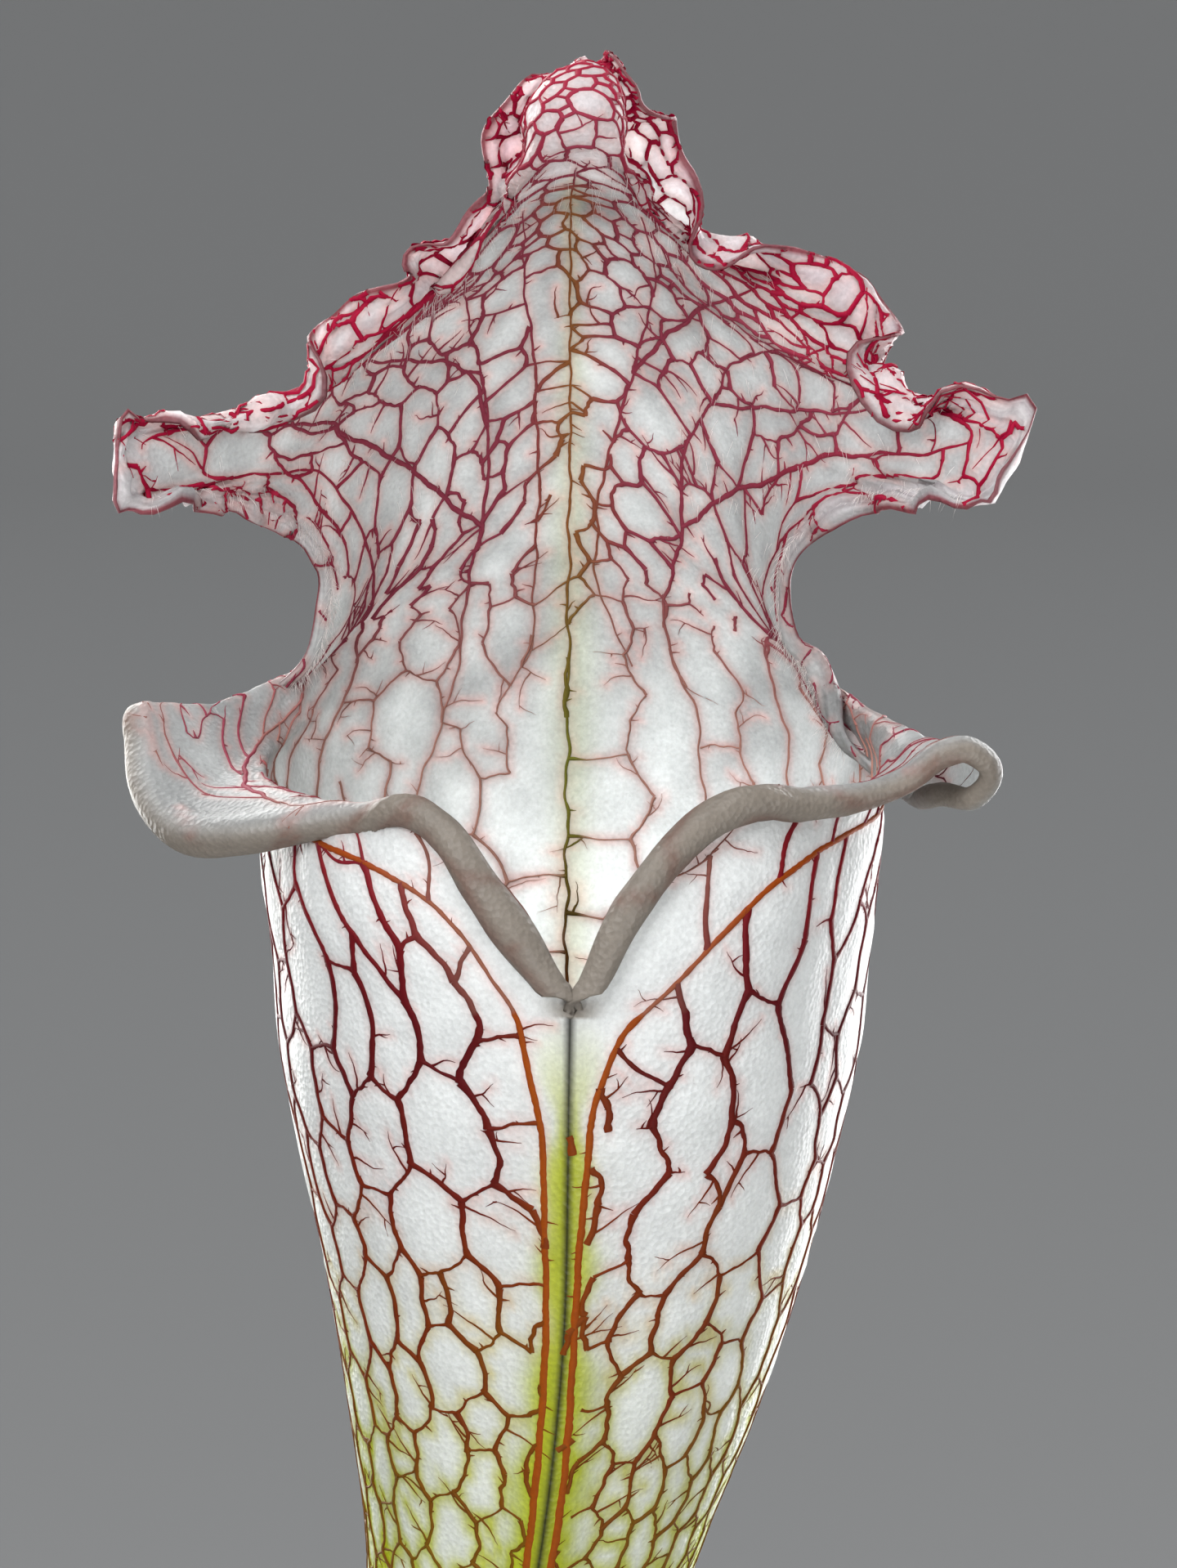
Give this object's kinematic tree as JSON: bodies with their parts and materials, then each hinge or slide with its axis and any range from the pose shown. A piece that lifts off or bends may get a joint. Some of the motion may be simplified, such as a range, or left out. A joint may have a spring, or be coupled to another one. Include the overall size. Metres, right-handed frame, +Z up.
{
  "type": "potted pitcher plant",
  "caption": "Potted white-topped pitcher plant: tall open pitcher with ruffled, veined hood and rolled lip, a young pitcher, a closed spear and sword leaves on a rhizome in peat.",
  "frame": {"origin": "middle of the pot's flat base, on the surface that it stands on", "axes": "+Z up; the tall pitcher's mouth faces -Y"},
  "size_m": [0.13, 0.13, 0.5757],
  "materials": {
    "pitcher_leaf": "waxy translucent white between raised red veins, green towards the foot",
    "spear_leaf": "satin, red-brown over green",
    "sword_leaf": "satin green with fine lengthwise veins",
    "rhizome_skin": "dull brown, ringed and scaly",
    "peat": "matt, fibrous, with moss on top",
    "pot_plastic": "moulded plastic, slightly dull"
  },
  "bodies": {
    "root": {"pitcher": "pitcher_leaf", "young_pitcher": "pitcher_leaf", "spear": "spear_leaf", "phyllode_1": "sword_leaf", "phyllode_2": "sword_leaf", "phyllode_3": "sword_leaf", "phyllode_4": "sword_leaf", "rhizome": "rhizome_skin", "soil": "peat", "pot": "pot_plastic"}
  },
  "joints": []
}
